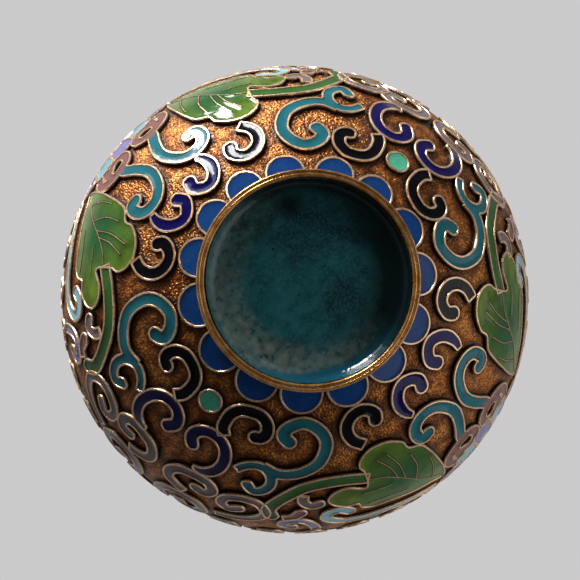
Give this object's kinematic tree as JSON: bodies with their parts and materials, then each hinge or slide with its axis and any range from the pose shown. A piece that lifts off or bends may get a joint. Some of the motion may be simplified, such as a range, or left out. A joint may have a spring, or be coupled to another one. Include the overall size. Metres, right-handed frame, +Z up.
{
  "type": "cloisonne vase",
  "caption": "Cloisonne bottle vase: round copper body, tall flared neck, brass foot and mouth rings, raised enamel scrolls and leaves on a gilt ground.",
  "frame": {"origin": "centre of the foot ring's underside, on the surface that the vase stands on", "axes": "+Z up along the vase's turned axis; +X towards one of the two mint dots, +Y towards one of the two large flowers"},
  "size_m": [0.084, 0.0858, 0.1388],
  "materials": {
    "gilt_copper": "gilt and punched all over, darkened between the punch marks",
    "polished_brass": "worn smooth, with fine scratches and brown tarnish",
    "turquoise_enamel": "opaque glossy enamel",
    "base_turquoise_enamel": "opaque glossy enamel, mottled",
    "black_enamel": "opaque glossy enamel",
    "cobalt_enamel": "opaque glossy enamel",
    "lappet_blue_enamel": "opaque glossy enamel",
    "leaf_green_enamel": "opaque glossy enamel, shaded from yellow-green to blue-green",
    "mint_enamel": "opaque glossy enamel",
    "rose_enamel": "opaque glossy enamel, shaded from rose to mauve"
  },
  "bodies": {
    "root": {"base_disc": "gilt_copper", "base_enamel": "base_turquoise_enamel", "black_inner_scroll_east_back": "black_enamel", "black_inner_scroll_east_front": "black_enamel", "black_inner_scroll_west_back": "black_enamel", "black_inner_scroll_west_front": "black_enamel", "black_outer_scroll_east_back": "black_enamel", "black_outer_scroll_east_front": "black_enamel", "black_outer_scroll_west_back": "black_enamel", "black_outer_scroll_west_front": "black_enamel", "cobalt_lower_scroll_east_back": "cobalt_enamel", "cobalt_lower_scroll_east_front": "cobalt_enamel", "cobalt_lower_scroll_west_back": "cobalt_enamel", "cobalt_lower_scroll_west_front": "cobalt_enamel", "cobalt_upper_scroll_east_back": "cobalt_enamel", "cobalt_upper_scroll_east_front": "cobalt_enamel", "cobalt_upper_scroll_west_back": "cobalt_enamel", "cobalt_upper_scroll_west_front": "cobalt_enamel", "flower_back": "rose_enamel", "flower_front": "rose_enamel", "foot_border_wire": "polished_brass", "foot_lappet_01": "lappet_blue_enamel", "foot_lappet_02": "lappet_blue_enamel", "foot_lappet_03": "lappet_blue_enamel", "foot_lappet_04": "lappet_blue_enamel", "foot_lappet_05": "lappet_blue_enamel", "foot_lappet_06": "lappet_blue_enamel", "foot_lappet_07": "lappet_blue_enamel", "foot_lappet_08": "lappet_blue_enamel", "foot_lappet_09": "lappet_blue_enamel", "foot_lappet_10": "lappet_blue_enamel", "foot_lappet_11": "lappet_blue_enamel", "foot_lappet_12": "lappet_blue_enamel", "foot_lappet_13": "lappet_blue_enamel", "foot_lappet_14": "lappet_blue_enamel", "foot_lappet_15": "lappet_blue_enamel", "foot_ring": "polished_brass", "leaf_east_back": "leaf_green_enamel", "leaf_east_front": "leaf_green_enamel", "leaf_west_back": "leaf_green_enamel", "leaf_west_front": "leaf_green_enamel", "lower_body_lining": "base_turquoise_enamel", "lower_body_shell": "gilt_copper", "mint_dot_east": "mint_enamel", "mint_dot_west": "mint_enamel", "mouth_rim": "polished_brass", "neck_lining": "base_turquoise_enamel", "neck_ring": "polished_brass", "neck_tube": "gilt_copper", "turquoise_long_scroll_east_back": "turquoise_enamel", "turquoise_long_scroll_east_front": "turquoise_enamel", "turquoise_long_scroll_west_back": "turquoise_enamel", "turquoise_long_scroll_west_front": "turquoise_enamel", "turquoise_upper_scroll_east_back": "turquoise_enamel", "turquoise_upper_scroll_east_front": "turquoise_enamel", "turquoise_upper_scroll_west_back": "turquoise_enamel", "turquoise_upper_scroll_west_front": "turquoise_enamel", "upper_body_lining": "base_turquoise_enamel", "upper_body_shell": "gilt_copper"}
  },
  "joints": []
}
